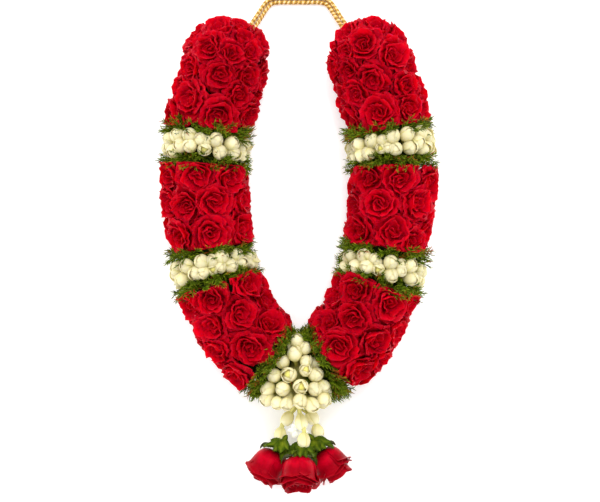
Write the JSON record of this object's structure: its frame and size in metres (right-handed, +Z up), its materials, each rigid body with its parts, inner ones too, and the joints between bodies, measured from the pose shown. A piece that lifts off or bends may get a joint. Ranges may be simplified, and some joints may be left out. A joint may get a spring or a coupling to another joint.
{
  "type": "flower garland",
  "caption": "Neck garland of open roses with bands of tuberose buds and needle leaf, joined below in a bud pendant with three hanging roses and above by a gold cord.",
  "frame": {"origin": "on the surface the garland lies on, under the middle of its flowers (the cord left out)", "axes": "+Y from the pendant towards the neck cord, +Z up out of the surface, the side seen in the picture; +X to the right in that view"},
  "size_m": [0.3702, 0.6508, 0.115],
  "materials": {
    "rose_petal": "velvety, matt",
    "bud": "waxy, satin",
    "needle_leaf": "matt",
    "large_rose_petal": "smooth, slight gloss",
    "sepal": "satin",
    "cotton_string": "matt",
    "gold_cord": "metallic thread"
  },
  "bodies": {
    "root": {"bud_cluster": "bud", "bud_strand_centre": "bud", "bud_strand_left": "bud", "bud_strand_right": "bud", "calyx_centre": "sepal", "calyx_left": "sepal", "calyx_right": "sepal", "core_string": "cotton_string", "hanging_rose_centre": "large_rose_petal", "hanging_rose_left": "large_rose_petal", "hanging_rose_right": "large_rose_petal", "limb_end_leaf_left": "needle_leaf", "limb_end_leaf_right": "needle_leaf", "lower_band_leaf_above_left": "needle_leaf", "lower_band_leaf_above_right": "needle_leaf", "lower_band_leaf_below_left": "needle_leaf", "lower_band_leaf_below_right": "needle_leaf", "lower_bud_band_left": "bud", "lower_bud_band_right": "bud", "lower_roses_left": "rose_petal", "lower_roses_right": "rose_petal", "middle_roses_left": "rose_petal", "middle_roses_right": "rose_petal", "neck_cord": "gold_cord", "open_floret": "bud", "pendant_string": "cotton_string", "top_roses_left": "rose_petal", "top_roses_right": "rose_petal", "upper_band_leaf_above_left": "needle_leaf", "upper_band_leaf_above_right": "needle_leaf", "upper_band_leaf_below_left": "needle_leaf", "upper_band_leaf_below_right": "needle_leaf", "upper_bud_band_left": "bud", "upper_bud_band_right": "bud"}
  },
  "joints": []
}
